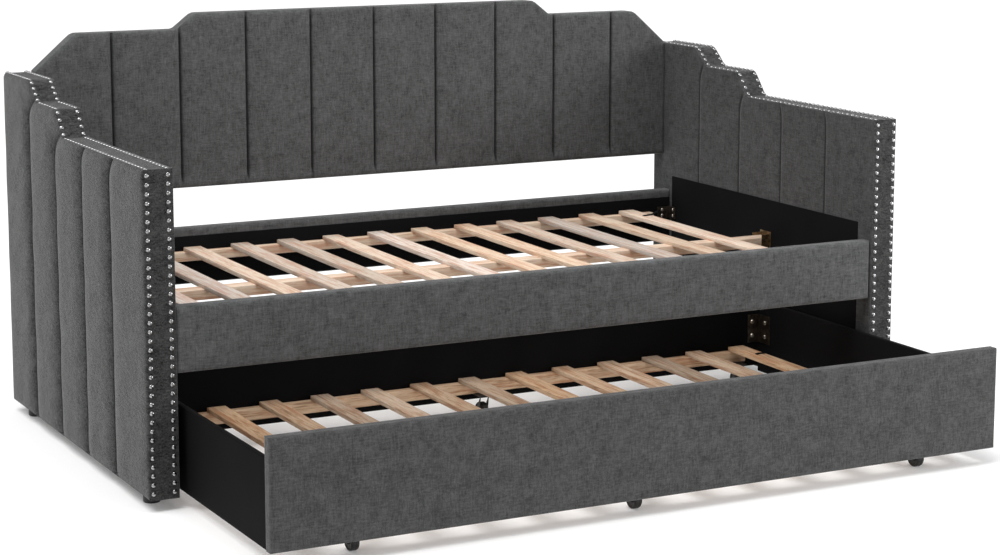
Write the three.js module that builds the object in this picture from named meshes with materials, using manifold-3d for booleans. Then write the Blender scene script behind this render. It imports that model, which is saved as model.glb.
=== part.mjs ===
// Upholstered daybed with a roll-out trundle, modelled in millimetres.
// +Z is up, +X runs along the bed and the trundle rolls out towards -Y.
// Until the last lines, y = 0 is the plane of the arms' front faces and z = 0 is the floor.
import * as THREE from 'three';
import { mergeVertices } from 'three/addons/utils/BufferGeometryUtils.js';
import Module from 'manifold-3d';

const wasm = await Module();
wasm.setup();

// ---- Driving dimensions ----
const GAP = 0.3; // air between parts that touch

const INNER_HALF = 970; // from the middle of the bed to an arm's inner face
const ARM = {
  thick: 75, depth: 1122, bottom: 28, low: 799, mid: 866, high: 918,
  lowEnd: 616, midStart: 676, midEnd: 832, highStart: 897,
};
const BACK = {
  front: 1060, rear: 1118, bottom: 582, crown: 1060, step: 1017, shoulder: 921,
  crownHalf: 521, stepHalf: 576, shoulderHalf: 860,
};
const RAIL = { thick: 40, front: 2, rear: 1063, bottom: 321, top: 477, corner: 9 };
const FOOT = { radius: 21, inset: 92 };

const SLAT = { width: 50, thick: 12, count: 13 };
const DECK = { top: 427, front: 52, rear: 1012, pitch: 137.2, shift: -15 };
const CLEAT = { width: 25, deckHeight: 25, deckEnd: 897, trundleHeight: 30 };
const BEAM = { width: 45, height: 27, deckY: 500, trundleY: -15 };
const HANGER = { wall: 2, reach: 30, plateHeight: 44, plateWidth: 54, lip: 8 };

const TRUNDLE = {
  front: -546, panel: 38, half: 962, bottom: 40, top: 293, corner: 9,
  sideHalf: 949.5, board: 15, rear: 493, sideBottom: 31, backBottom: 48, boardTop: 234,
  slatTop: 112, slatFront: -500, slatRear: 470, pitch: 141.6, shift: 4, cleatLeft: -905, cleatRight: 876,
};
const CASTER = {
  wheelRadius: 24, wheelWidth: 20, bore: 3.4, axle: 3, legThick: 2, legGap: 1.2,
  plateThick: 2.5, plateWidth: 40, plateNear: 34, plateFar: 21, endRadius: 9,
  front: { y: -472, turn: 0, left: -745, middle: -31, right: 775 },
  rear: { y: 442, turn: Math.PI, left: -842, middle: 36, right: 842 },
};

// ---- Materials ----
const finish = (color, roughness, metalness = 0) =>
  new THREE.MeshStandardMaterial({ color, roughness, metalness });
const fabric = finish(0x56575a, 0.95);
const blackBoard = finish(0x141416, 0.8);
const pine = finish(0xdcc3a6, 0.7);
const tanPine = finish(0xb99a76, 0.7);
const darkSteel = finish(0x3a3633, 0.45, 0.8);
const blackPlastic = finish(0x101011, 0.5);

// ---- Helpers ----
const bed = new THREE.Group();

function addMesh(parent, name, geometry, material, x = 0, y = 0, z = 0) {
  const mesh = new THREE.Mesh(geometry, material);
  mesh.name = name;
  mesh.position.set(x, y, z);
  parent.add(mesh);
  return mesh;
}

// A board given by its lowest and highest corners.
function addBoard(name, low, high, material) {
  const size = high.map((v, i) => v - low[i]);
  const middle = high.map((v, i) => (v + low[i]) / 2);
  return addMesh(bed, name, new THREE.BoxGeometry(...size), material, ...middle);
}

function outline(points) {
  return new THREE.Shape(points.map(([a, b]) => new THREE.Vector2(a, b)));
}

// A rectangle from (a0, b0) to (a1, b1) with rounded corners.
function roundedOutline(a0, b0, a1, b1, radius) {
  const shape = new THREE.Shape();
  shape.moveTo(a0 + radius, b0);
  shape.absarc(a1 - radius, b0 + radius, radius, -Math.PI / 2, 0);
  shape.absarc(a1 - radius, b1 - radius, radius, 0, Math.PI / 2);
  shape.absarc(a0 + radius, b1 - radius, radius, Math.PI / 2, Math.PI);
  shape.absarc(a0 + radius, b0 + radius, radius, Math.PI, Math.PI * 1.5);
  return shape;
}

// An outline drawn in (y, z), extruded along +X from x = 0.
function extrudeAlongX(shape, length, curveSegments = 5) {
  const geometry = new THREE.ExtrudeGeometry(shape, { depth: length, bevelEnabled: false, curveSegments });
  const turn = new THREE.Matrix4().makeBasis(
    new THREE.Vector3(0, 1, 0), new THREE.Vector3(0, 0, 1), new THREE.Vector3(1, 0, 0));
  return geometry.applyMatrix4(turn);
}

// An outline drawn in (x, z), extruded along -Y from y = 0.
function extrudeAlongMinusY(shape, length) {
  const geometry = new THREE.ExtrudeGeometry(shape, { depth: length, bevelEnabled: false });
  return geometry.rotateX(Math.PI / 2);
}

function toSolid(geometry) {
  const bare = geometry.clone();
  bare.deleteAttribute('normal');
  bare.deleteAttribute('uv');
  const merged = mergeVertices(bare);
  return new wasm.Manifold(new wasm.Mesh({
    numProp: 3,
    vertProperties: new Float32Array(merged.attributes.position.array),
    triVerts: new Uint32Array(merged.index.array),
  }));
}

function joined(geometries) {
  const solid = geometries.map(toSolid).reduce((a, b) => a.add(b));
  const mesh = solid.getMesh();
  const geometry = new THREE.BufferGeometry();
  geometry.setAttribute('position', new THREE.BufferAttribute(mesh.vertProperties, 3));
  geometry.setIndex(new THREE.BufferAttribute(mesh.triVerts, 1));
  geometry.computeVertexNormals();
  return geometry;
}

// ---- Daybed ----
function addArms() {
  const side = outline([
    [0, ARM.bottom], [ARM.depth, ARM.bottom], [ARM.depth, ARM.high], [ARM.highStart, ARM.high],
    [ARM.midEnd, ARM.mid], [ARM.midStart, ARM.mid], [ARM.lowEnd, ARM.low], [0, ARM.low],
  ]);
  addMesh(bed, 'left_arm', extrudeAlongX(side, ARM.thick), fabric, -INNER_HALF - ARM.thick);
  addMesh(bed, 'right_arm', extrudeAlongX(side, ARM.thick), fabric, INNER_HALF);
}

function addFeet() {
  const height = ARM.bottom - GAP;
  const r = FOOT.radius;
  const profile = [[0, 0], [r - 4, 0], [r, 4], [r, height], [0, height]];
  const across = INNER_HALF + ARM.thick / 2;
  const places = {
    front_left_foot: [-across, FOOT.inset],
    front_right_foot: [across, FOOT.inset],
    rear_left_foot: [-across, ARM.depth - FOOT.inset],
    rear_right_foot: [across, ARM.depth - FOOT.inset],
  };
  for (const [name, [x, y]] of Object.entries(places)) {
    const geometry = new THREE.LatheGeometry(profile.map(([a, b]) => new THREE.Vector2(a, b)), 32);
    addMesh(bed, name, geometry.rotateX(Math.PI / 2), blackPlastic, x, y, 0);
  }
}

function addBackPanel() {
  const half = INNER_HALF - GAP;
  const right = [
    [half, BACK.bottom], [half, BACK.shoulder], [BACK.shoulderHalf, BACK.step],
    [BACK.stepHalf, BACK.step], [BACK.crownHalf, BACK.crown],
  ];
  const left = right.map(([x, z]) => [-x, z]).reverse();
  const geometry = extrudeAlongMinusY(outline([...right, ...left]), BACK.rear - BACK.front);
  addMesh(bed, 'back_panel', geometry, fabric, 0, BACK.rear, 0);
}

function addRails() {
  const half = INNER_HALF - GAP;
  const section = roundedOutline(0, RAIL.bottom, RAIL.thick, RAIL.top, RAIL.corner);
  addMesh(bed, 'front_rail', extrudeAlongX(section, 2 * half), fabric, -half, RAIL.front);
  addMesh(bed, 'back_rail', extrudeAlongX(section, 2 * half), fabric, -half, RAIL.rear - RAIL.thick);
}

function addDeck() {
  const top = DECK.top - SLAT.thick - GAP;
  const end = CLEAT.deckEnd;
  const frontFace = RAIL.front + RAIL.thick + GAP;
  const rearFace = RAIL.rear - RAIL.thick - GAP;
  const low = top - CLEAT.deckHeight;
  addBoard('front_cleat', [-end, frontFace, low], [end, frontFace + CLEAT.width, top], pine);
  addBoard('back_cleat', [-end, rearFace - CLEAT.width, low], [end, rearFace, top], pine);

  const beamEnd = INNER_HALF - 2 * GAP - HANGER.wall;
  addBoard('centre_beam', [-beamEnd, BEAM.deckY - BEAM.width / 2, top - BEAM.height],
    [beamEnd, BEAM.deckY + BEAM.width / 2, top], pine);

  addSlats('slat', DECK.top, DECK.front, DECK.rear, DECK.pitch, DECK.shift, pine);
}

// Slats lie across the bed, evenly spaced along X.
function addSlats(prefix, top, front, rear, pitch, shift, material) {
  for (let i = 0; i < SLAT.count; i += 1) {
    const x = shift + (i - (SLAT.count - 1) / 2) * pitch;
    const number = String(i + 1).padStart(2, '0');
    addBoard(`${prefix}_${number}`, [x - SLAT.width / 2, front, top - SLAT.thick],
      [x + SLAT.width / 2, rear, top], material);
  }
}

// A steel cup on each arm that the centre beam's end drops into.
function addBeamHangers() {
  const top = DECK.top - SLAT.thick - GAP;
  const floor = top - BEAM.height - GAP;
  const inner = BEAM.width / 2 + GAP;
  const outer = inner + HANGER.wall;
  const rim = top + HANGER.lip;
  const cup = outline([
    [-outer, floor - HANGER.wall], [outer, floor - HANGER.wall], [outer, rim], [inner, rim],
    [inner, floor], [-inner, floor], [-inner, rim], [-outer, rim],
  ]);
  const plateLow = floor - HANGER.wall;
  const half = HANGER.plateWidth / 2;
  const plate = outline([
    [-half, plateLow], [half, plateLow], [half, plateLow + HANGER.plateHeight],
    [-half, plateLow + HANGER.plateHeight],
  ]);
  for (const [name, sign] of [['left_beam_hanger', -1], ['right_beam_hanger', 1]]) {
    const face = sign * (INNER_HALF - GAP);
    const wall = extrudeAlongX(plate, HANGER.wall).translate(Math.min(face, face - sign * HANGER.wall), 0, 0);
    const tray = extrudeAlongX(cup, HANGER.reach).translate(Math.min(face, face - sign * HANGER.reach), 0, 0);
    addMesh(bed, name, joined([wall, tray]), darkSteel, 0, BEAM.deckY, 0);
  }
}

// ---- Trundle ----
function addTrundleBox() {
  const t = TRUNDLE;
  const section = roundedOutline(0, t.bottom, t.panel, t.top, t.corner);
  addMesh(bed, 'trundle_front', extrudeAlongX(section, 2 * t.half), fabric, -t.half, t.front);
  const start = t.front + t.panel + GAP;
  const end = t.rear - t.board - GAP;
  const inner = t.sideHalf - t.board;
  addBoard('trundle_left_side', [-t.sideHalf, start, t.sideBottom], [-inner, end, t.boardTop], blackBoard);
  addBoard('trundle_right_side', [inner, start, t.sideBottom], [t.sideHalf, end, t.boardTop], blackBoard);
  addBoard('trundle_back', [-t.sideHalf, t.rear - t.board, t.backBottom],
    [t.sideHalf, t.rear, t.boardTop], blackBoard);
}

function addTrundleDeck() {
  const t = TRUNDLE;
  const top = t.slatTop - SLAT.thick - GAP;
  const low = top - CLEAT.trundleHeight;
  const half = t.sideHalf - t.board - GAP;
  const frontFace = t.front + t.panel + GAP;
  const rearFace = t.rear - t.board - GAP;
  addBoard('trundle_front_cleat', [t.cleatLeft, frontFace, low],
    [t.cleatRight, frontFace + CLEAT.width, top], tanPine);
  addBoard('trundle_back_cleat', [t.cleatLeft, rearFace - CLEAT.width, low],
    [t.cleatRight, rearFace, top], tanPine);
  addBoard('trundle_centre_beam', [-half, BEAM.trundleY - BEAM.width / 2, top - BEAM.height],
    [half, BEAM.trundleY + BEAM.width / 2, top], tanPine);
  addSlats('trundle_slat', t.slatTop, t.slatFront, t.slatRear, t.pitch, t.shift, tanPine);
  return low;
}

// The wheel turns about X; its profile is a closed ring with rounded tread edges.
function wheelGeometry() {
  const { wheelRadius: r, wheelWidth: w, bore } = CASTER;
  const h = w / 2;
  const profile = [
    [bore, -h], [8, -h], [9.5, -h + 1.5], [r - 4, -h + 1.5], [r - 2.5, -h], [r, -h + 2.5],
    [r, h - 2.5], [r - 2.5, h], [r - 4, h - 1.5], [9.5, h - 1.5], [8, h], [bore, h], [bore, -h],
  ];
  const geometry = new THREE.LatheGeometry(profile.map(([a, b]) => new THREE.Vector2(a, b)), 28);
  return geometry.rotateZ(-Math.PI / 2);
}

// The fork, seen from the axle: two legs under a plate, with the axle riveted through them.
function forkGeometry(plateTop) {
  const c = CASTER;
  const plateLow = plateTop - c.plateThick;
  const legInner = c.wheelWidth / 2 + c.legGap;
  const leg = new THREE.Shape();
  leg.moveTo(-17, plateLow + 0.5);
  leg.absarc(0, 0, c.endRadius, Math.PI, 2 * Math.PI);
  leg.lineTo(17, plateLow + 0.5);
  const plate = new THREE.BoxGeometry(c.plateWidth, c.plateNear + c.plateFar, c.plateThick)
    .translate(0, (c.plateFar - c.plateNear) / 2, plateTop - c.plateThick / 2);
  const axleLength = 2 * (legInner + c.legThick + 1);
  const axle = new THREE.CylinderGeometry(c.axle, c.axle, axleLength, 20).rotateZ(Math.PI / 2);
  const legs = [-legInner - c.legThick, legInner]
    .map((x) => extrudeAlongX(leg, c.legThick, 10).translate(x, 0, 0));
  return joined([plate, ...legs, axle]);
}

function addCasters(cleatBottom) {
  const fork = forkGeometry(cleatBottom - GAP - CASTER.wheelRadius);
  const wheel = wheelGeometry();
  for (const row of ['front', 'rear']) {
    for (const place of ['left', 'middle', 'right']) {
      const caster = new THREE.Group();
      caster.position.set(CASTER[row][place], CASTER[row].y, CASTER.wheelRadius);
      caster.rotation.z = CASTER[row].turn;
      addMesh(caster, `caster_fork_${row}_${place}`, fork, darkSteel);
      addMesh(caster, `caster_wheel_${row}_${place}`, wheel, blackPlastic);
      bed.add(caster);
    }
  }
}

addArms();
addFeet();
addBackPanel();
addRails();
addDeck();
addBeamHangers();
addTrundleBox();
addCasters(addTrundleDeck());

// The origin is on the floor, in the middle of the whole bed with the trundle out.
bed.position.y = -(TRUNDLE.front + ARM.depth) / 2;

export default bed;
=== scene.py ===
import math

import bmesh
import bpy
import numpy as np
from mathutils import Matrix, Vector


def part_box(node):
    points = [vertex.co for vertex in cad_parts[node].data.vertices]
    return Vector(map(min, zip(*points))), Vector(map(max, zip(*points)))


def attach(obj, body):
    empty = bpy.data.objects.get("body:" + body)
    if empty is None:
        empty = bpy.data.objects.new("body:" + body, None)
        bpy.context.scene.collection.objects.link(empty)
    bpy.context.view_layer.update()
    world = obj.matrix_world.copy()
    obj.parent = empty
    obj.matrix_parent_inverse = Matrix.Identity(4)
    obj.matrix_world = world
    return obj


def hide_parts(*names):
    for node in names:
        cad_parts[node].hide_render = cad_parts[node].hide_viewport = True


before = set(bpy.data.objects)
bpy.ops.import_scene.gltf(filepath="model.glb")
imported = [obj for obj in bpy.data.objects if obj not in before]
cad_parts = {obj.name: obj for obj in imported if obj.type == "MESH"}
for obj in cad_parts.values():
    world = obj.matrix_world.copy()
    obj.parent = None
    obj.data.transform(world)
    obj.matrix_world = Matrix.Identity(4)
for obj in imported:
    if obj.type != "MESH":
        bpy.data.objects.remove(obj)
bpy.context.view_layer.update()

# ---- Camera: the first thing made ----
CAMERA_PLACE = (-2.774, -5.4055, 1.5666)
CAMERA_YAW = math.radians(27.26)     # turned from +Y towards +X
CAMERA_DIP = math.radians(9.07)      # looking down
CAMERA_LENS = 86.3                   # in mm, as the sensor is
CAMERA_SENSOR = 36.0
CAMERA_SHIFT = -0.07
CAMERA_REACH = 100.0


def add_camera():
    data = bpy.data.cameras.new("camera")
    data.lens = CAMERA_LENS
    data.sensor_width = CAMERA_SENSOR
    data.shift_y = CAMERA_SHIFT
    data.clip_end = CAMERA_REACH
    camera = bpy.data.objects.new("camera", data)
    camera.location = CAMERA_PLACE
    camera.rotation_euler = (math.pi / 2 - CAMERA_DIP, 0.0, -CAMERA_YAW)
    bpy.context.collection.objects.link(camera)
    bpy.context.scene.camera = camera


add_camera()


# ---- Places taken from the frame, in metres ----
def corners(node):
    """The lowest and the highest corner of a node's box."""
    low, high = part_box(node)
    return np.array(low), np.array(high)


ARM_LOW, ARM_HIGH = corners("right_arm")
BACK_LOW, BACK_HIGH = corners("back_panel")
ARM_FRONT = ARM_LOW[1]
ARM_DEPTH = ARM_HIGH[1] - ARM_LOW[1]
SIDES = (("left", -1), ("right", 1))

# The stepped tops, as (distance, height): from the arm's front, and from the bed's middle.
ARM_PEAK = 0.918
ARM_STEPS = [(0.0, 0.799), (0.616, 0.799), (0.676, 0.866), (0.832, 0.866), (0.897, ARM_PEAK)]
ARM_CHAMFER = (0.012, 0.010)                 # at the arm's rear top corner: its length and its drop
BACK_STEPS = [(0.521, 1.060), (0.576, 1.017), (0.860, 1.017)]
BACK_SHOULDER = 0.921
STEP_ROUNDING = 0.010

# The seams between channels.
ARM_SEAMS = [0.222, 0.437, 0.651, 0.867]     # on the arm's inner face, from its front
OUTER_SEAMS = [0.262, 0.476, 0.692, 0.910]   # on its outer face
TOP_SEAMS = [0.230, 0.446, 0.627, 0.843]     # where both reach the stepped top
CURL, CURL_POWER = 0.060, 2.2                # the height over which they curl to it, and how late
BACK_SEAM_PITCH, BACK_SEAM_OFFSET = 0.193, 0.011
BACK_SEAMS = [BACK_SEAM_OFFSET + k * BACK_SEAM_PITCH for k in range(-4, 5)]
SEAM_HALF = 0.0044                           # half the width of a stitched crease, and of the painted shade along it

OUTER_EDGE = 0.0032                          # how far the arm's outer face falls away at its rim
CLOTH_TOP = 0.5195                           # top of the dust cloth on the arms
CLOTH_FRONT = 0.0605                         # its front edge, behind the arm's front


# ---- Materials ----
class Nodes:
    """A short way to write a material's node tree."""

    def __init__(self, name):
        self.material = bpy.data.materials.new(name)
        self.material.use_nodes = True
        self.tree = self.material.node_tree
        self.shader = self.tree.nodes["Principled BSDF"]
        self.object = self.add("ShaderNodeTexCoord").outputs["Object"]

    def add(self, kind, **settings):
        node = self.tree.nodes.new(kind)
        for key, value in settings.items():
            if key in node.inputs:
                node.inputs[key].default_value = value
            else:
                setattr(node, key, value)
        return node

    def link(self, source, target):
        self.tree.links.new(source, target)

    def fill(self, slots, values):
        """Gives each slot its value: a number, a colour or the output of another node."""
        for slot, value in zip(slots, values):
            if isinstance(value, (int, float)):
                slot.default_value = value
            elif isinstance(value, tuple):
                slot.default_value = (*value, 1.0)
            else:
                self.link(value, slot)

    def attribute(self, name, output):
        return self.add("ShaderNodeAttribute", attribute_name=name).outputs[output]

    def noise(self, scale, stretch=(1, 1, 1), detail=2.0, rough=0.5, source=None):
        mapping = self.add("ShaderNodeMapping")
        mapping.inputs["Scale"].default_value = stretch
        self.link(source or self.object, mapping.inputs["Vector"])
        noise = self.add("ShaderNodeTexNoise", Scale=scale, Detail=detail, Roughness=rough)
        self.link(mapping.outputs["Vector"], noise.inputs["Vector"])
        return noise.outputs["Fac"]

    def ramp(self, source, stops):
        node = self.add("ShaderNodeValToRGB")
        elements = node.color_ramp.elements
        for element, (place, colour) in zip(elements, stops):
            element.position = place
            element.color = (*colour, 1.0)
        for place, colour in stops[len(elements):]:
            elements.new(place).color = (*colour, 1.0)
        self.link(source, node.inputs["Fac"])
        return node.outputs["Color"]

    def math(self, operation, a, b):
        node = self.add("ShaderNodeMath", operation=operation)
        self.fill(node.inputs, (a, b))
        return node.outputs["Value"]

    def weighted(self, *parts):
        """The sum of outputs, each given as (output, weight)."""
        scaled = [self.math("MULTIPLY", output, weight) for output, weight in parts]
        total = scaled[0]
        for value in scaled[1:]:
            total = self.math("ADD", total, value)
        return total

    def vectors(self, operation, a, b):
        node = self.add("ShaderNodeVectorMath", operation=operation)
        self.link(a, node.inputs[0])
        self.link(b, node.inputs[1])
        return node.outputs["Vector"]

    def mix(self, factor, a, b, blend="MIX"):
        node = self.add("ShaderNodeMix", data_type="RGBA", blend_type=blend)
        colour_a, colour_b, result = node.inputs[6], node.inputs[7], node.outputs[2]
        self.fill((node.inputs[0], colour_a, colour_b), (factor, a, b))
        return result

    def bump(self, height, distance, strength=1.0, under=None):
        node = self.add("ShaderNodeBump", Distance=distance, Strength=strength)
        self.link(height, node.inputs["Height"])
        if under:
            self.link(under, node.inputs["Normal"])
        return node.outputs["Normal"]

    def finish(self, colour=None, roughness=None, normal=None, **values):
        for key, source in (("Base Color", colour), ("Roughness", roughness), ("Normal", normal)):
            if source is not None:
                self.link(source, self.shader.inputs[key])
        for key, value in values.items():
            self.shader.inputs[key.replace("_", " ")].default_value = value
        return self.material


def grey(level):
    return (level, level, level)


THREADS = 240.0                      # slubs to the metre, across their length


def chenille(name, dark, light, sheen, nap=0.0015, slubs=(5.0, 5.0), crushed=0.0018, spread_of_tone=0.26):
    """Thick woven upholstery: slubs along both thread directions over a cloudy pile.
    slubs is how many times longer than wide the upright and the level slubs are.
    nap and crushed are the depths of the threads and of the crushed patches."""
    n = Nodes(name)
    upright, level = THREADS / slubs[0], THREADS / slubs[1]
    up = n.noise(1.0, (THREADS, THREADS, upright), detail=3.0, rough=0.6)
    across = n.noise(1.0, (level, level, THREADS), detail=3.0, rough=0.6)
    fine = n.noise(420.0, (1, 1, 0.8), detail=3.0, rough=0.7)
    cloud = n.noise(28.0, detail=4.0, rough=0.7)
    threads = n.math("MULTIPLY", n.math("ADD", up, across), 0.5)
    tone = n.weighted((threads, 0.52), (fine, 0.26), (cloud, 0.22))
    colour = n.ramp(tone, [(0.5 - spread_of_tone / 2, dark), (0.5 + spread_of_tone / 2, light)])
    # painted shade: inside the stitched creases the colour falls to a quarter of the dark tone
    crease_shade = tuple(c * 0.25 for c in dark)
    colour = n.mix(n.attribute("crease", "Fac"), colour, crease_shade)
    crush = n.noise(85.0, (0.6, 0.6, 1), detail=3.0, rough=0.65)
    normal = n.bump(n.weighted((fine, 1.0), (threads, 1.3)), nap, strength=0.6)
    normal = n.bump(crush, crushed, strength=0.55, under=normal)
    return n.finish(colour, None, normal, Roughness=0.93, Sheen_Weight=sheen, Sheen_Roughness=0.34,
                    Sheen_Tint=(0.83, 0.83, 0.83, 1.0), Specular_IOR_Level=0.2)


def dust_cloth(name, dark, light):
    """Thin black non-woven cloth."""
    n = Nodes(name)
    fibres = n.noise(900.0, (1, 1, 0.3), detail=3.0)
    cloud = n.noise(9.0, detail=3.0)
    colour = n.ramp(n.weighted((fibres, 0.5), (cloud, 0.5)), [(0.3, dark), (0.7, light)])
    normal = n.bump(fibres, 0.0004, strength=0.5)
    return n.finish(colour, None, normal, Roughness=0.9, Specular_IOR_Level=0.12)


def planed_wood(name, pale, deep, stain, knot):
    """Planed softwood: growth rings drawn out along the board, each board with its own piece of them.
    The scales are in grain lengths, which the board's grain attribute sets."""
    n = Nodes(name)
    place = n.vectors("ADD", n.object, n.attribute("board", "Vector"))
    source = n.vectors("MULTIPLY", place, n.attribute("grain", "Vector"))
    warp = n.noise(0.9, detail=3.0, source=source)
    rings = n.noise(5.0, detail=4.0, rough=0.65, source=source)
    pores = n.noise(34.0, detail=2.0, source=source)
    streak = n.weighted((rings, 0.7), (warp, 0.3))
    bleached = tuple(c * 0.84 + 0.05 for c in pale)
    colour = n.ramp(streak, [(0.38, deep), (0.50, pale), (0.62, bleached)])
    cloud = n.noise(1.9, detail=3.0, rough=0.6, source=source)
    colour = n.mix(n.ramp(cloud, [(0.47, grey(0)), (0.66, grey(0.72))]), colour, stain)
    knots = n.add("ShaderNodeTexVoronoi", Scale=0.42, Randomness=1.0)
    n.link(source, knots.inputs["Vector"])
    colour = n.mix(n.ramp(knots.outputs["Distance"], [(0.0, grey(1)), (0.10, grey(0))]), colour, knot)
    colour = n.mix(1.0, colour, n.attribute("tone", "Color"), "MULTIPLY")
    normal = n.bump(n.weighted((rings, 1.0), (pores, 0.5)), 0.0005, strength=0.5)
    return n.finish(colour, None, normal, Roughness=0.62, Specular_IOR_Level=0.35)


def worn_metal(name, colour, edge, roughness, metallic):
    n = Nodes(name)
    patch = n.noise(90.0, detail=4.0, rough=0.6)
    tint = n.ramp(patch, [(0.35, colour), (0.75, edge)])
    rough = n.math("ADD", n.math("MULTIPLY", patch, 0.25), roughness - 0.12)
    return n.finish(tint, rough, n.bump(patch, 0.0002, strength=0.4), Metallic=metallic)


def moulded_plastic(name, level):
    n = Nodes(name)
    grain = n.noise(1400.0, detail=2.0)
    patch = n.noise(60.0, detail=3.0)
    tint = n.ramp(patch, [(0.3, grey(level * 0.8)), (0.7, grey(level * 1.3))])
    rough = n.math("ADD", n.math("MULTIPLY", patch, 0.2), 0.38)
    return n.finish(tint, rough, n.bump(grain, 0.0001, strength=0.3), Specular_IOR_Level=0.4)


FABRIC = chenille("chenille", (0.031, 0.0315, 0.032), (0.122, 0.124, 0.126), sheen=0.3)
DARKER = chenille("chenille_trundle", grey(0.020), grey(0.094), sheen=0.26)
PILE = chenille("chenille_pile", grey(0.001), grey(0.072), sheen=0.39, nap=0.0022, slubs=(1.0, 3.0),
                crushed=0.0027, spread_of_tone=0.19)
# The arms' inner faces: the back's chenille made darker as painted shade for the inside of the bed; its
# sheen is lower than the pile's
INNER_SHADED = chenille("chenille_inner_shaded", (0.020, 0.0204, 0.0208), (0.094, 0.096, 0.098), sheen=0.28)
CLOTH = dust_cloth("dust_cloth", dark=(0.0016, 0.0016, 0.0019), light=(0.0038, 0.0038, 0.0044))
PINE = planed_wood("pale_pine", pale=(0.84, 0.70, 0.575), deep=(0.60, 0.41, 0.285),
                   stain=(0.60, 0.31, 0.20), knot=(0.22, 0.10, 0.05))
TAN_PINE = planed_wood("tan_pine", pale=(0.69, 0.515, 0.36), deep=(0.35, 0.205, 0.115),
                       stain=(0.40, 0.165, 0.070), knot=(0.12, 0.06, 0.03))
BRACKET = worn_metal("bracket_steel", (0.045, 0.042, 0.040), (0.16, 0.12, 0.085),
                     roughness=0.36, metallic=0.9)
BRASS = worn_metal("hanger_brass", (0.12, 0.075, 0.036), (0.40, 0.28, 0.15),
                   roughness=0.40, metallic=0.9)
BOLT = worn_metal("bolt_zinc", (0.42, 0.38, 0.32), (0.62, 0.58, 0.52),
                  roughness=0.3, metallic=1.0)
BLACK_STEEL = worn_metal("black_steel", (0.020, 0.020, 0.021), (0.045, 0.045, 0.047),
                         roughness=0.5, metallic=0.3)
PLASTIC = moulded_plastic("black_plastic", 0.014)
CHROME = worn_metal("nail_chrome", (0.29, 0.29, 0.295), (0.43, 0.43, 0.435),
                    roughness=0.22, metallic=1.0)


# ---- Mesh helpers ----
def add_piece(name, points, faces, materials, body, sharp, face_materials=None):
    """A smooth-shaded piece on a body, with edges bent by more than sharp degrees kept sharp."""
    mesh = bpy.data.meshes.new(name)
    mesh.from_pydata(np.asarray(points, float).tolist(), [], faces)
    for material in materials if isinstance(materials, list) else [materials]:
        mesh.materials.append(material)
    mesh.polygons.foreach_set("use_smooth", [True] * len(mesh.polygons))
    if face_materials is not None:
        mesh.polygons.foreach_set("material_index", face_materials)
    mesh.update()
    mesh.set_sharp_from_angle(angle=math.radians(sharp))
    piece = bpy.data.objects.new(name, mesh)
    bpy.context.collection.objects.link(piece)
    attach(piece, body)
    return piece


def outward(piece, weld=0.0):
    """Joins points closer than weld and turns every face out, whichever way round it was laid."""
    bm = bmesh.new()
    bm.from_mesh(piece.data)
    if weld:
        bmesh.ops.remove_doubles(bm, verts=bm.verts, dist=weld)
    bmesh.ops.recalc_face_normals(bm, faces=bm.faces)
    bm.to_mesh(piece.data)
    bm.free()


def grid_faces(rows, columns, first=0, flip=False):
    faces = []
    for i in range(rows - 1):
        for j in range(columns - 1):
            a = first + i * columns + j
            quad = (a, a + 1, a + columns + 1, a + columns)
            faces.append(quad[::-1] if flip else quad)
    return faces


def grid_rim(rows, columns):
    """The points round the edge of a grid, in order, numbered as grid_faces numbers them."""
    last_row, last = rows - 1, columns - 1
    rim = [(0, j) for j in range(columns)]
    rim += [(i, last) for i in range(1, rows)]
    rim += [(last_row, j) for j in range(last - 1, -1, -1)]
    rim += [(i, 0) for i in range(last_row - 1, 0, -1)]
    return [i * columns + j for i, j in rim]


def tube_faces(rings, around, first=0):
    """The sides and both flat ends of a tube, made of rings with as many points as around."""
    faces = []
    for ring in range(rings - 1):
        for k in range(around):
            a = first + ring * around + k
            b = first + ring * around + (k + 1) % around
            faces.append((a, b, b + around, a + around))
    last = first + (rings - 1) * around
    faces.append(tuple(range(first, first + around))[::-1])
    faces.append(tuple(range(last, last + around)))
    return faces


def spread(start, end, marks, step, near):
    """Lines from start to end: close together beside each mark and at both ends, else a step apart."""
    closest = 0.0004
    places = {start, end}
    for mark in [start, end, *marks]:
        for distance in near:
            for place in (mark - distance, mark + distance):
                if start <= place <= end:
                    places.add(place)
    ordered = [start]
    for place in sorted(places):
        if place - ordered[-1] > closest:
            ordered.append(place)
    ordered[-1] = end
    lines = [start]
    for a, b in zip(ordered, ordered[1:]):
        count = max(1, math.ceil((b - a) / step))
        lines.extend(a + (b - a) * (k + 1) / count for k in range(count))
    return np.array(lines)


def rounded_path(points, radius, steps=6):
    """The points of an open path with its inner corners rounded."""
    path = [np.array(points[0], float)]
    for before, corner, after in zip(points, points[1:], points[2:]):
        corner = np.array(corner, float)
        a = np.array(before) - corner
        b = np.array(after) - corner
        cut = min(radius, np.linalg.norm(a) * 0.45, np.linalg.norm(b) * 0.45)
        start = corner + a / np.linalg.norm(a) * cut
        end = corner + b / np.linalg.norm(b) * cut
        for t in np.linspace(0, 1, steps):
            path.append((1 - t) ** 2 * start + 2 * t * (1 - t) * corner + t * t * end)
    path.append(np.array(points[-1], float))
    return np.array(path)


def simplified(path, tolerance=0.0002):
    """The path without the points that lie on a straight run."""
    kept = [path[0]]
    for point, after in zip(path[1:], path[2:]):
        (u0, v0), (u1, v1), (u2, v2) = kept[-1], point, after
        area = abs((u1 - u0) * (v2 - v0) - (u2 - u0) * (v1 - v0))
        if area > tolerance * max(math.hypot(u2 - u0, v2 - v0), 1e-9):
            kept.append(point)
    kept.append(path[-1])
    return kept


def height_along(path):
    """A function from distances along a path to its heights there."""
    return lambda u: np.interp(u, path[:, 0], path[:, 1])


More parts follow.
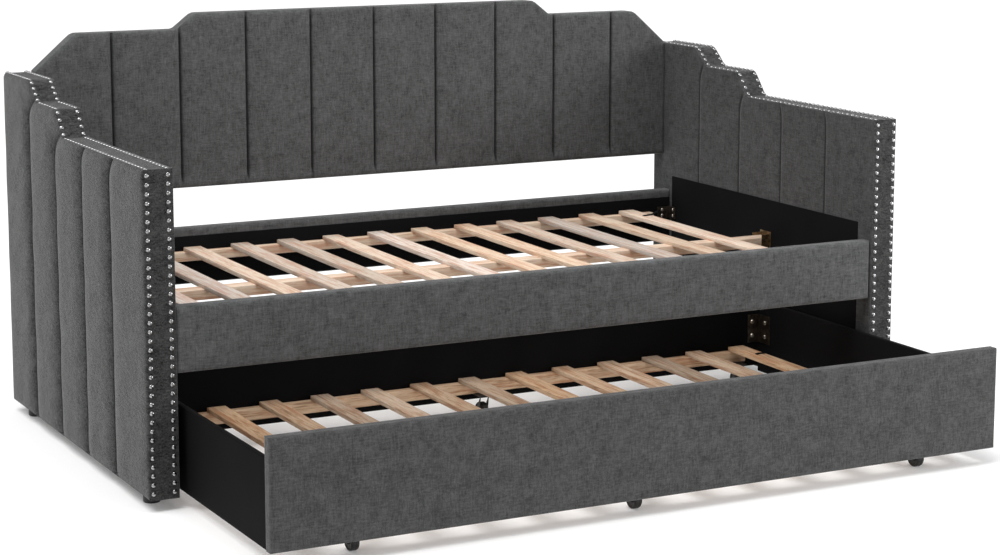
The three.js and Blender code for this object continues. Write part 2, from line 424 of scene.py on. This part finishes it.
def distance_to_path(u, v, path):
    best = np.full(u.shape, np.inf)
    for (u0, v0), (u1, v1) in zip(path, path[1:]):
        du, dv = u1 - u0, v1 - v0
        length = du * du + dv * dv
        t = np.clip(((u - u0) * du + (v - v0) * dv) / max(length, 1e-12), 0, 1)
        best = np.minimum(best, np.hypot(u - u0 - t * du, v - v0 - t * dv))
    return best


def nearest(u, seams):
    """How far each point is from the nearest seam."""
    return np.min([np.abs(u - s) for s in seams], axis=0)


def rise(distance, reach, power=2.0, root=0.5):
    """0 at the edge, 1 from reach onwards, round between."""
    t = np.clip(distance / reach, 0, 1)
    return (1 - (1 - t) ** power) ** root


def dip(distance, depth, reach, power=2.0, root=0.5, flat=0.0):
    """How far cloth is pulled in: depth up to flat from a seam or an edge, then less, over reach."""
    return depth * (1 - rise(np.maximum(distance - flat, 0), reach, power, root))


def ripple(u, v, size, seed):
    """A gentle unevenness, mostly between -1 and 1, with waves about as long as size."""
    waves, highest = 7, 4.5
    dice = np.random.default_rng(seed)
    total = np.zeros_like(u)
    for _ in range(waves):
        angle = dice.uniform(0, math.pi)
        turn = 2 * math.pi / (size * dice.uniform(0.6, 1.6))
        start = dice.uniform(0, 6.28)
        total += np.sin(turn * (u * math.cos(angle) + v * math.sin(angle)) + start)
    return total / highest


# ---- Upholstery ----
NEAR_EDGE = [0.0015, 0.0032, 0.006, 0.010, 0.015, 0.021, 0.028]   # where lines crowd beside an edge
NEAR_BASE = NEAR_EDGE[:5]
LINE_STEP = 0.009                    # between the rows elsewhere
BAND_STRIPS = 5                      # across the band that joins front and back


def panel_rows(across, heights, bottom):
    """The heights of a panel's points, row by row: crowded at its bottom and under its top."""
    below = np.array([0.0, *NEAR_BASE])
    above = np.array([0.0, *NEAR_EDGE])
    start = bottom + below[-1]
    middle = math.ceil((heights.max() - bottom) / LINE_STEP)
    rows = [np.full_like(across, bottom + k) for k in below]
    rows += [start + (heights - above[-1] - start) * k / middle for k in range(1, middle)]
    rows += [heights - k for k in above[::-1]]
    return np.array(rows)


def joined(near, far):
    """Points and faces of two grids of points, back to back, and of the band round their edges."""
    rows, columns = near.shape[:2]
    count = rows * columns
    points = np.concatenate([near.reshape(-1, 3), far.reshape(-1, 3)])
    faces = grid_faces(rows, columns) + grid_faces(rows, columns, count, flip=True)
    rim = grid_rim(rows, columns)
    around = len(rim)
    start, end = points[rim], points[np.array(rim) + count]
    rings, between = [rim], []
    for k in range(1, BAND_STRIPS):
        first = 2 * count + (k - 1) * around
        rings.append(range(first, first + around))
        between.append(start + (end - start) * k / BAND_STRIPS)
    rings.append([m + count for m in rim])
    for a, b in zip(rings, rings[1:]):
        for m in range(around):
            after = (m + 1) % around
            faces.append((a[m], b[m], b[after], a[after]))
    return np.concatenate([points, *between]), faces


def crease_of(u, edge, seams):
    """How far each point lies in a stitched crease, from 0 to 1, which sets how much painted shade
    darkens the cloth there. A crease fades out at the edge.
    """
    if not len(seams):
        return np.zeros_like(u)
    end, fade = 0.008, 0.010
    return np.clip(1.15 - nearest(u, seams) / SEAM_HALF, 0, 1) * np.clip((edge - end) / fade, 0, 1)


def upholstered(node, across, top, bottom, front, back, place, body, fabric, seams=((), ()),
                starts=(None, None), ends=None):
    """A closed padded panel made of upright lines, one for each value in across.
    front and back give the depth of both faces, and the band between them is a strip of its own.
    A line rises from its place in starts and curls over near the top to its place in ends.
    fabric is the cloth all over, or two: the front and band's, and the back's."""
    ends = across if ends is None else ends
    heights = top(ends)
    v = panel_rows(across, heights, bottom)
    u = np.tile(across, (len(v), 1))
    curl = np.clip(1 - (heights - v) / CURL, 0, 1) ** CURL_POWER
    outline = simplified([(ends[0], bottom), *zip(ends, heights), (ends[-1], bottom), (ends[0], bottom)])
    sides, creases = [], []
    for depth, first, lines in zip((front, back), starts, seams):
        first = across if first is None else first
        moved = first + (ends - first) * curl
        edge = distance_to_path(moved, v, outline)
        sides.append(place(moved, v, depth(u, v, edge)))
        creases.append(crease_of(u, edge, lines))
    points, faces = joined(*sides)
    side = (len(v) - 1) * (len(across) - 1)
    cloths = [0] * side + [len(fabric) - 1] * side + [0] * (len(faces) - 2 * side)
    piece = add_piece(f"{node}_cover", points, faces, fabric, body, sharp=50.0,
                      face_materials=cloths)
    # the crease attribute marks where painted shade darkens the cloth along the seams
    layer = piece.data.attributes.new("crease", "FLOAT", "POINT")
    band = np.zeros(len(points) - 2 * v.size)
    layer.data.foreach_set("value", np.concatenate([creases[0].ravel(), creases[1].ravel(), band]))
    outward(piece)
    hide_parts(node)


def facing_front(u, v, depth):
    """Places a panel that stands across the bed."""
    return np.stack([u, depth, v], axis=-1)


def add_arm(node, sign):
    chamfer, drop = ARM_CHAMFER
    path = rounded_path([*ARM_STEPS, (ARM_DEPTH - chamfer, ARM_PEAK), (ARM_DEPTH, ARM_PEAK - drop)],
                        STEP_ROUNDING)
    across = spread(0.0, ARM_DEPTH, ARM_SEAMS, step=0.0095, near=NEAR_EDGE)
    marks = [0.0, *ARM_SEAMS, ARM_DEPTH]
    outer_lines = np.interp(across, marks, [0.0, *OUTER_SEAMS, ARM_DEPTH])
    ends = np.interp(across, marks, [0.0, *TOP_SEAMS, ARM_DEPTH])
    inner, outer = ARM_LOW[0], ARM_HIGH[0]
    swell = 0.001                    # how far the outer padding stands proud

    def outer_face(u, v, edge):
        groove = dip(nearest(u, ARM_SEAMS), depth=0.0135, reach=0.100, power=3.2, root=0.55)
        rim = dip(edge, depth=OUTER_EDGE, reach=0.013)
        shoulder = dip(edge, depth=0.0028, reach=0.045, root=0.6)
        soft = 0.0009 * ripple(u, v, size=0.14, seed=3 + sign) * rise(edge, 0.05)
        return outer + swell - groove * rise(edge, 0.006) - rim - shoulder + soft

    def inner_face(u, v, edge):
        near = nearest(u, ARM_SEAMS)
        groove = dip(near, depth=0.0024, reach=0.012, root=0.7, flat=0.001)
        rim = dip(edge, depth=0.0012, reach=0.005)
        crown = dip(near, depth=0.0012, reach=0.10, root=0.8)
        return inner + groove * rise(edge, 0.006) + rim + crown * rise(edge, 0.03)

    def place(u, v, depth):
        return np.stack([sign * depth, ARM_FRONT + u, v], axis=-1)

    upholstered(node, across, height_along(path), ARM_LOW[2], outer_face, inner_face, place, "daybed",
                [PILE, INNER_SHADED], (ARM_SEAMS, ARM_SEAMS), (outer_lines, across), ends)


def add_back():
    half, front, bottom = BACK_HIGH[0], BACK_LOW[1], BACK_LOW[2]
    right = [*BACK_STEPS, (half, BACK_SHOULDER)]
    path = rounded_path([(-x, z) for x, z in reversed(right)] + right, STEP_ROUNDING)
    across = spread(-half, half, BACK_SEAMS, step=0.0105, near=NEAR_EDGE[:6])
    hem, fade = 0.012, 0.02          # the channels start above the bottom hem

    def front_face(u, v, edge):
        near = nearest(u, BACK_SEAMS)
        ends = np.clip((v - bottom - hem) / fade, 0, 1)
        groove = dip(near, depth=0.0080, reach=0.014, power=2.2, flat=0.0016) * ends
        crown = dip(near, depth=0.0050, reach=0.097, power=2.2) * ends
        rim = dip(edge, depth=0.0085, reach=0.012)
        soft = 0.0005 * ripple(u, v, size=0.13, seed=11)
        return front + rim + (groove + crown) * rise(edge, 0.012) + soft

    def rear_face(u, v, edge):
        return BACK_HIGH[1] - dip(edge, depth=0.008, reach=0.012)

    upholstered("back_panel", across, height_along(path), bottom, front_face, rear_face, facing_front,
                "daybed", [FABRIC], (BACK_SEAMS, ()))


def add_rail(node, body, fabric, seed):
    """A straight padded board with soft edges."""
    low, high = corners(node)
    across = spread(low[0], high[0], [], step=0.011, near=NEAR_BASE)

    def front_face(u, v, edge):
        crown = dip(edge, depth=0.0012, reach=0.075)
        soft = 0.0006 * ripple(u, v, size=0.11, seed=seed) * rise(edge, 0.03)
        return low[1] + dip(edge, depth=0.0070, reach=0.0090) + crown - soft

    def rear_face(u, v, edge):
        return high[1] - dip(edge, depth=0.006, reach=0.009)

    upholstered(node, across, lambda u: np.full_like(u, high[2]), low[2], front_face, rear_face,
                facing_front, body, [fabric])


# ---- Boards, battens and sheets ----
BATTEN_BOW = 0.002                   # how far a slat sags in its middle
GRAIN_ACROSS, GRAIN_ALONG = 62.0, 3.4   # grain lengths to the metre


def block(low, high, round_by, cuts, bow=0.0):
    """Points and faces of a board with rounded long edges, cut into steps along its longest side."""
    size = np.array(high) - np.array(low)
    along = int(np.argmax(size))
    side, up = [k for k in range(3) if k != along]
    length, w, h, r = size[along], size[side] / 2, size[up] / 2, round_by
    ring = []
    for right, top, start in ((1, -1, -90), (1, 1, 0), (-1, 1, 90), (-1, -1, 180)):
        for k in range(3):
            a = math.radians(start + 45 * k)
            ring.append((right * (w - r) + r * math.cos(a), top * (h - r) + r * math.sin(a)))
    inset = r / max(w, h)
    stations = [(0.0, 1 - inset), (r, 1.0)]
    stations += [(r + (length - 2 * r) * k / cuts, 1.0) for k in range(1, cuts)]
    stations += [(length - r, 1.0), (length, 1 - inset)]
    middle = (np.array(high) + np.array(low)) / 2
    points = []
    for t, shrink in stations:
        sag = -bow * 4 * (t / length) * (1 - t / length)
        drawn_in = (1 - shrink) * w
        for a, b in ring:
            point = middle.copy()
            point[along] = low[along] + t
            point[side] += math.copysign(max(abs(a) - drawn_in, 0), a)
            point[up] += math.copysign(max(abs(b) - drawn_in, 0), b) + sag
            points.append(point)
    return np.array(points), tube_faces(len(stations), len(ring))


def paint(piece, seed, along):
    """Gives a wooden piece its own tone, its own stretch of grain, and the grain's direction."""
    dice = np.random.default_rng(seed)
    grain = np.full(3, GRAIN_ACROSS)
    grain[along] = GRAIN_ALONG
    warm = dice.uniform(-0.07, 0.07)
    level = dice.uniform(0.72, 1.10)
    values = {
        "board": dice.uniform(-6, 6, 3),
        "grain": grain,
        "tone": np.array([level * (1 + warm), level, level * (1 - 1.4 * warm)]),
    }
    count = len(piece.data.vertices)
    for name, value in values.items():
        layer = piece.data.attributes.new(name, "FLOAT_VECTOR", "POINT")
        layer.data.foreach_set("vector", np.tile(value, count))


def add_plank(node, material, body, seed, bow=0.0):
    low, high = corners(node)
    points, faces = block(low, high, round_by=0.0013, cuts=14, bow=bow)
    piece = add_piece(f"{node}_wood", points, faces, material, body, sharp=60.0)
    outward(piece)
    paint(piece, seed, int(np.argmax(high - low)))
    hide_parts(node)


def add_black_board(node):
    """A board of the trundle, covered all round in dust cloth."""
    low, high = corners(node)
    points, faces = block(low, high, round_by=0.002, cuts=20)
    piece = add_piece(f"{node}_covered", points, faces, CLOTH, "trundle", sharp=60.0)
    outward(piece)
    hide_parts(node)


def add_sheet(name, low, high, body):
    """A cloth stretched flat over a frame, as thin as its box."""
    points, faces = block(low, high, round_by=0.0008, cuts=8)
    piece = add_piece(name, points, faces, CLOTH, body, sharp=60.0)
    outward(piece)
    width, length = sorted(b - a for a, b in zip(low, high))[1:]


def add_linings():
    """The dust cloths on the inside of the arms, the rails and the trundle's front."""
    rail_low, rail_high = corners("front_rail")
    rear_low, rear_high = corners("back_rail")
    low, high = corners("trundle_front")
    thick, lap = 0.0022, 0.0005      # the arms' cloth, and how far it lies in the padding
    base, rear_gap = 0.004, 0.0125   # its distances from the arm's bottom and from the back rail
    fold, hem = 0.022, 0.012         # fabric that shows above and below the other cloths
    for side, sign in SIDES:
        xs = sorted((sign * (ARM_LOW[0] - thick), sign * (ARM_LOW[0] + lap)))
        add_sheet(f"{side}_arm_dust_cloth", (xs[0], ARM_FRONT + CLOTH_FRONT, ARM_LOW[2] + base),
                  (xs[1], rear_low[1] - rear_gap, CLOTH_TOP), "daybed")
    half, y = rail_high[0] - 0.004, rail_high[1]
    add_sheet("front_rail_dust_cloth", (-half, y - 0.0006, rail_low[2] + hem),
              (half, y + 0.0009, rail_high[2] - fold), "daybed")
    y = rear_low[1]
    add_sheet("back_rail_dust_cloth", (-half, y - 0.0012, rear_low[2] + base),
              (half, y + 0.0012, rear_high[2] - fold), "daybed")
    inset, y = 0.015, high[1]
    add_sheet("trundle_front_dust_cloth", (low[0] + inset, y - 0.0006, low[2] + hem),
              (high[0] - inset, y + 0.0002, high[2] - fold), "trundle")


def add_strap_end(name, slat, body, behind, reach):
    """The loose end of the webbing that spaces the slats, stapled flat and curling up at its tip.
    behind is its distance from the slat's rear end."""
    low, high = corners(slat)
    thick, half, gap = 0.0012, 0.006, 0.0002
    lift_at_tip, curl_length, sideways = 0.010, 0.016, 0.006
    start = low[0] + 0.017
    xs = np.linspace(start, start + reach, 12)
    curl = lift_at_tip * np.clip((xs - high[0]) / curl_length, 0, 1) ** 1.6
    sway = sideways * np.sin((xs - start) / reach * 2.6)
    points = []
    for x, lift, aside in zip(xs, curl, sway):
        y, z = high[1] - behind + aside, high[2] + gap + lift
        points += [(x, y - half, z), (x, y + half, z), (x, y + half, z + thick), (x, y - half, z + thick)]
    piece = add_piece(name, points, tube_faces(len(xs), 4), CLOTH, body, sharp=30.0)
    outward(piece)


# ---- Nailheads ----
NAIL_PITCH = 0.0212
NAIL_INSET = 0.0130                  # the inner row's distance from the arm's inner face
NAIL_MARGIN = 0.0080                 # the outer row's from the outer face's rim
NAIL_FIRST, NAIL_LAST = 0.785, 0.044   # heights of the top and bottom nail on the arm's front
NAIL_RADIUS, NAIL_HEIGHT, NAIL_SINK = 0.0056, 0.0032, 0.001
NAIL_RIM = 0.0002                    # height of the straight part under its dome


def add_head(points, faces, profile, place, normal, segments):
    """Adds a turned head to a piece: profile is (radius, height) above place, along normal."""
    normal = Vector(normal).normalized()
    side = normal.orthogonal().normalized()
    other = normal.cross(side)
    faces += tube_faces(len(profile), segments, len(points))
    for r, h in profile:
        for s in range(segments):
            a = 2 * math.pi * s / segments
            point = Vector(place) + side * (r * math.cos(a)) + other * (r * math.sin(a)) + normal * h
            points.append(tuple(point))


def nail_row(x):
    """(place, normal) of each nail in a row, up the arm's front and back along its stepped top."""
    nails = []
    count = round((NAIL_FIRST - NAIL_LAST) / NAIL_PITCH)
    for k in range(count + 1):
        z = NAIL_FIRST + (NAIL_LAST - NAIL_FIRST) * k / count
        nails.append(((x, ARM_FRONT - 0.0002, z), (0, -1, 0)))
    steps = [*ARM_STEPS, (ARM_DEPTH, ARM_PEAK)]
    for (y0, z0), (y1, z1) in zip(steps, steps[1:]):
        number = max(1, round(math.hypot(y1 - y0, z1 - z0) / NAIL_PITCH))
        for k in range(number):
            t = (k + 0.5) / number
            place = (x, ARM_FRONT + y0 + (y1 - y0) * t, z0 + (z1 - z0) * t - 0.0003)
            nails.append((place, (0, z0 - z1, y1 - y0)))
    return nails


def add_nailheads(side, sign):
    profile = [(NAIL_RADIUS, -NAIL_SINK), (NAIL_RADIUS, NAIL_RIM)]
    for a in np.radians([20, 42, 64, 82]):
        profile.append((NAIL_RADIUS * math.cos(a), NAIL_RIM + NAIL_HEIGHT * math.sin(a)))
    rows = (("inner", ARM_LOW[0] + NAIL_INSET), ("outer", ARM_HIGH[0] - OUTER_EDGE - NAIL_MARGIN))
    for row, x in rows:
        points, faces = [], []
        for place, normal in nail_row(sign * x):
            add_head(points, faces, profile, place, normal, segments=12)
        add_piece(f"{side}_arm_{row}_nailheads", points, faces, CHROME, "daybed", sharp=75.0)


# ---- Metal parts and wheels ----
WELD = 1e-5                          # lathe seams closer than this are joined
RAIL_BRACKET = {"low": 0.391, "high": 0.427, "reach": (0.045, 0.034), "bolt": 0.0046}
TRUNDLE_BRACKET = {"low": 0.116, "high": 0.196, "reach": (0.036, 0.060), "bolt": 0.0060}


def lathe(profile, axis, centre, segments):
    """Turns a profile of (radius, height) about an axis through centre."""
    points, faces = [], []
    n = len(profile)
    basis = {"x": (1, 2, 0), "z": (0, 1, 2)}[axis]
    for s in range(segments):
        a = 2 * math.pi * s / segments
        for r, h in profile:
            point = np.array(centre, float)
            for value, k in zip((r * math.cos(a), r * math.sin(a), h), basis):
                point[k] += value
            points.append(point)
    for s in range(segments):
        for k in range(n - 1):
            a, b = s * n + k, ((s + 1) % segments) * n + k
            faces.append((a, b, b + 1, a + 1))
    return points, faces


def add_foot(node):
    low, high = corners(node)
    centre = (low + high) / 2
    r, h = (high[0] - low[0]) / 2, high[2] - low[2]
    profile = [(0.0, 0.0), (r - 0.005, 0.0), (r - 0.002, 0.001), (r - 0.0005, 0.003), (r, 0.006),
               (r, h * 0.6), (r - 0.002, h * 0.66), (r - 0.002, h), (0.0, h)]
    points, faces = lathe(profile, "z", (centre[0], centre[1], low[2]), segments=48)
    piece = add_piece(f"{node}_glide", points, faces, PLASTIC, "daybed", sharp=40.0)
    outward(piece, weld=WELD)
    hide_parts(node)


def add_wheel(node, body):
    """A caster wheel: a hub and a round tyre with a shallow web between them."""
    low, high = corners(node)
    r, h = (high[2] - low[2]) / 2, (high[0] - low[0]) / 2
    bore = 0.0034
    half = [(bore, h), (0.0078, h), (0.0085, h - 0.0004), (0.0092, h - 0.002), (r - 0.0060, h - 0.002),
            (r - 0.0052, h - 0.0016), (r - 0.0045, h - 0.0004), (r - 0.0035, h), (r - 0.0018, h - 0.0006),
            (r - 0.0006, h - 0.0022), (r, h - 0.0048), (r, 0.0006), (r - 0.0004, 0.0)]
    profile = half + [(a, -b) for a, b in reversed(half[:-1])] + [(bore, h)]
    points, faces = lathe(profile, "x", (low + high) / 2, segments=64)
    piece = add_piece(f"{node}_turned", points, faces, PLASTIC, body, sharp=40.0)
    outward(piece, weld=WELD)
    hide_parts(node)


def colour_node(node, material):
    """Shows a node's own solid, in one material."""
    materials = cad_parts[node].data.materials
    materials.clear()
    materials.append(material)


def add_corner_bracket(name, corner, toward, body, low, high, reach, bolt):
    """A bent steel angle in an inside corner, with two bolts through each leg.
    toward is the way each leg runs from the corner, and bolt the radius of a bolt's head."""
    thick, bolt_place, head = 0.0025, 0.62, bolt * 0.7
    (x, y), (way_x, way_y), (reach_x, reach_y) = corner, toward, reach
    face_x, face_y = x + way_x * thick, y + way_y * thick
    points, faces = [], []
    for xs, ys in (((x, x + way_x * reach_x), (y, face_y)), ((x, face_x), (face_y, y + way_y * reach_y))):
        leg, leg_faces = block((min(xs), min(ys), low), (max(xs), max(ys), high), round_by=0.0005, cuts=2)
        faces += [tuple(k + len(points) for k in face) for face in leg_faces]
        points += [tuple(point) for point in leg]
    steel = len(faces)
    profile = [(bolt, 0.0), (bolt, head * 0.45), (bolt * 0.8, head * 0.85), (bolt * 0.45, head)]
    for share in (0.25, 0.75):
        z = low + (high - low) * share
        on_x_leg = (x + way_x * reach_x * bolt_place, face_y, z)
        on_y_leg = (face_x, y + way_y * reach_y * bolt_place, z)
        add_head(points, faces, profile, on_x_leg, (0, way_y, 0), segments=14)
        add_head(points, faces, profile, on_y_leg, (way_x, 0, 0), segments=14)
    metals = [0] * steel + [1] * (len(faces) - steel)
    add_piece(name, points, faces, [BRACKET, BOLT], body, sharp=30.0,
              face_materials=metals)


def add_brackets():
    """The angles in the corners of both frames, a little in front of the cloth that they stand on."""
    arm = ARM_LOW[0] - 0.0025
    rear = corners("back_rail")[0][1] - 0.0015
    front = corners("front_rail")[1][1] + 0.0012
    for side, sign in SIDES:
        add_corner_bracket(f"{side}_rear_rail_bracket", (sign * arm, rear), (-sign, -1), "daybed",
                           **RAIL_BRACKET)
        add_corner_bracket(f"{side}_front_rail_bracket", (sign * arm, front), (-sign, 1), "daybed",
                           **RAIL_BRACKET)
    board = corners("trundle_right_side")[0][0]
    rear = corners("trundle_back")[0][1]
    front = corners("trundle_front")[1][1] + 0.0005
    for side, sign in SIDES:
        add_corner_bracket(f"{side}_rear_trundle_bracket", (sign * board, rear), (-sign, -1), "trundle",
                           **TRUNDLE_BRACKET)
        add_corner_bracket(f"{side}_front_trundle_bracket", (sign * board, front), (-sign, 1), "trundle",
                           **TRUNDLE_BRACKET)


# ---- Floor and light ----
def add_floor(half, glow):
    """A pale paper floor that gives off a little light of its own."""
    mesh = bpy.data.meshes.new("floor")
    square = [(-half, -half, 0.0), (half, -half, 0.0), (half, half, 0.0), (-half, half, 0.0)]
    mesh.from_pydata(square, [], [(0, 1, 2, 3)])
    n = Nodes("floor_paper")
    n.finish(n.ramp(n.noise(0.8), [(0.3, grey(0.86)), (0.7, grey(0.88))]), Roughness=0.9,
             Emission_Color=(1.0, 1.0, 1.0, 1.0), Emission_Strength=glow)
    mesh.materials.append(n.material)
    floor = bpy.data.objects.new("floor", mesh)
    bpy.context.collection.objects.link(floor)


def add_world(level):
    world = bpy.data.worlds.new("studio")
    world.use_nodes = True
    background = world.node_tree.nodes["Background"]
    background.inputs["Color"].default_value = (1.0, 1.0, 1.0, 1.0)
    background.inputs["Strength"].default_value = level
    bpy.context.scene.world = world


def add_sun(direction, strength, softness):
    data = bpy.data.lights.new("sun", "SUN")
    data.energy = strength
    data.angle = math.radians(softness)
    sun = bpy.data.objects.new("sun", data)
    sun.rotation_euler = (-Vector(direction)).to_track_quat("-Z", "Y").to_euler()
    bpy.context.collection.objects.link(sun)


def add_light(name, place, aim, size, power):
    data = bpy.data.lights.new(name, "AREA")
    data.shape = "RECTANGLE"
    data.size, data.size_y = size
    data.energy = power
    light = bpy.data.objects.new(name, data)
    light.location = place
    light.rotation_euler = (Vector(aim) - Vector(place)).to_track_quat("-Z", "Y").to_euler()
    bpy.context.collection.objects.link(light)


# ---- Build ----
def dress(node, seed):
    """Covers one node of the deck, the trundle, the feet or the casters."""
    if node.startswith("slat_"):
        add_plank(node, PINE, "daybed", seed, BATTEN_BOW)
    elif node.startswith("trundle_slat_"):
        add_plank(node, TAN_PINE, "trundle", seed, BATTEN_BOW)
    elif node in ("front_cleat", "back_cleat", "centre_beam"):
        add_plank(node, PINE, "daybed", seed)
    elif node in ("trundle_front_cleat", "trundle_back_cleat", "trundle_centre_beam"):
        add_plank(node, TAN_PINE, "trundle", seed)
    elif node in ("trundle_left_side", "trundle_right_side", "trundle_back"):
        add_black_board(node)
    elif node.endswith("_foot"):
        add_foot(node)
    elif node.startswith("caster_wheel_"):
        add_wheel(node, node.replace("caster_wheel_", "wheel_"))
    elif node.startswith("caster_fork_"):
        colour_node(node, BLACK_STEEL)
    elif node.endswith("_beam_hanger"):
        colour_node(node, BRASS)


for side, sign in SIDES:
    add_arm(f"{side}_arm", sign)
    add_nailheads(side, sign)
add_back()
add_rail("front_rail", "daybed", FABRIC, seed=21)
add_rail("back_rail", "daybed", FABRIC, seed=22)
add_rail("trundle_front", "trundle", DARKER, seed=23)
add_linings()
for seed, node in enumerate(sorted(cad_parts), start=100):
    dress(node, seed)
add_brackets()
add_strap_end("deck_strap_end", "slat_13", "daybed", behind=0.117, reach=0.052)
add_strap_end("trundle_strap_end", "trundle_slat_13", "trundle", behind=0.118, reach=0.030)

add_floor(half=30.0, glow=0.14)
add_world(0.62)
add_sun((-0.36, -0.10, 0.92), strength=1.85, softness=40)
add_light("top_box", place=(-0.6, -0.6, 3.6), aim=(0, 0.2, 0.4), size=(1.6, 1.2), power=25)
add_light("right_box", place=(3.6, -3.0, 1.2), aim=(1.0, -0.3, 0.4), size=(1.4, 1.4), power=100)
bpy.context.scene.view_settings.view_transform = "Standard"
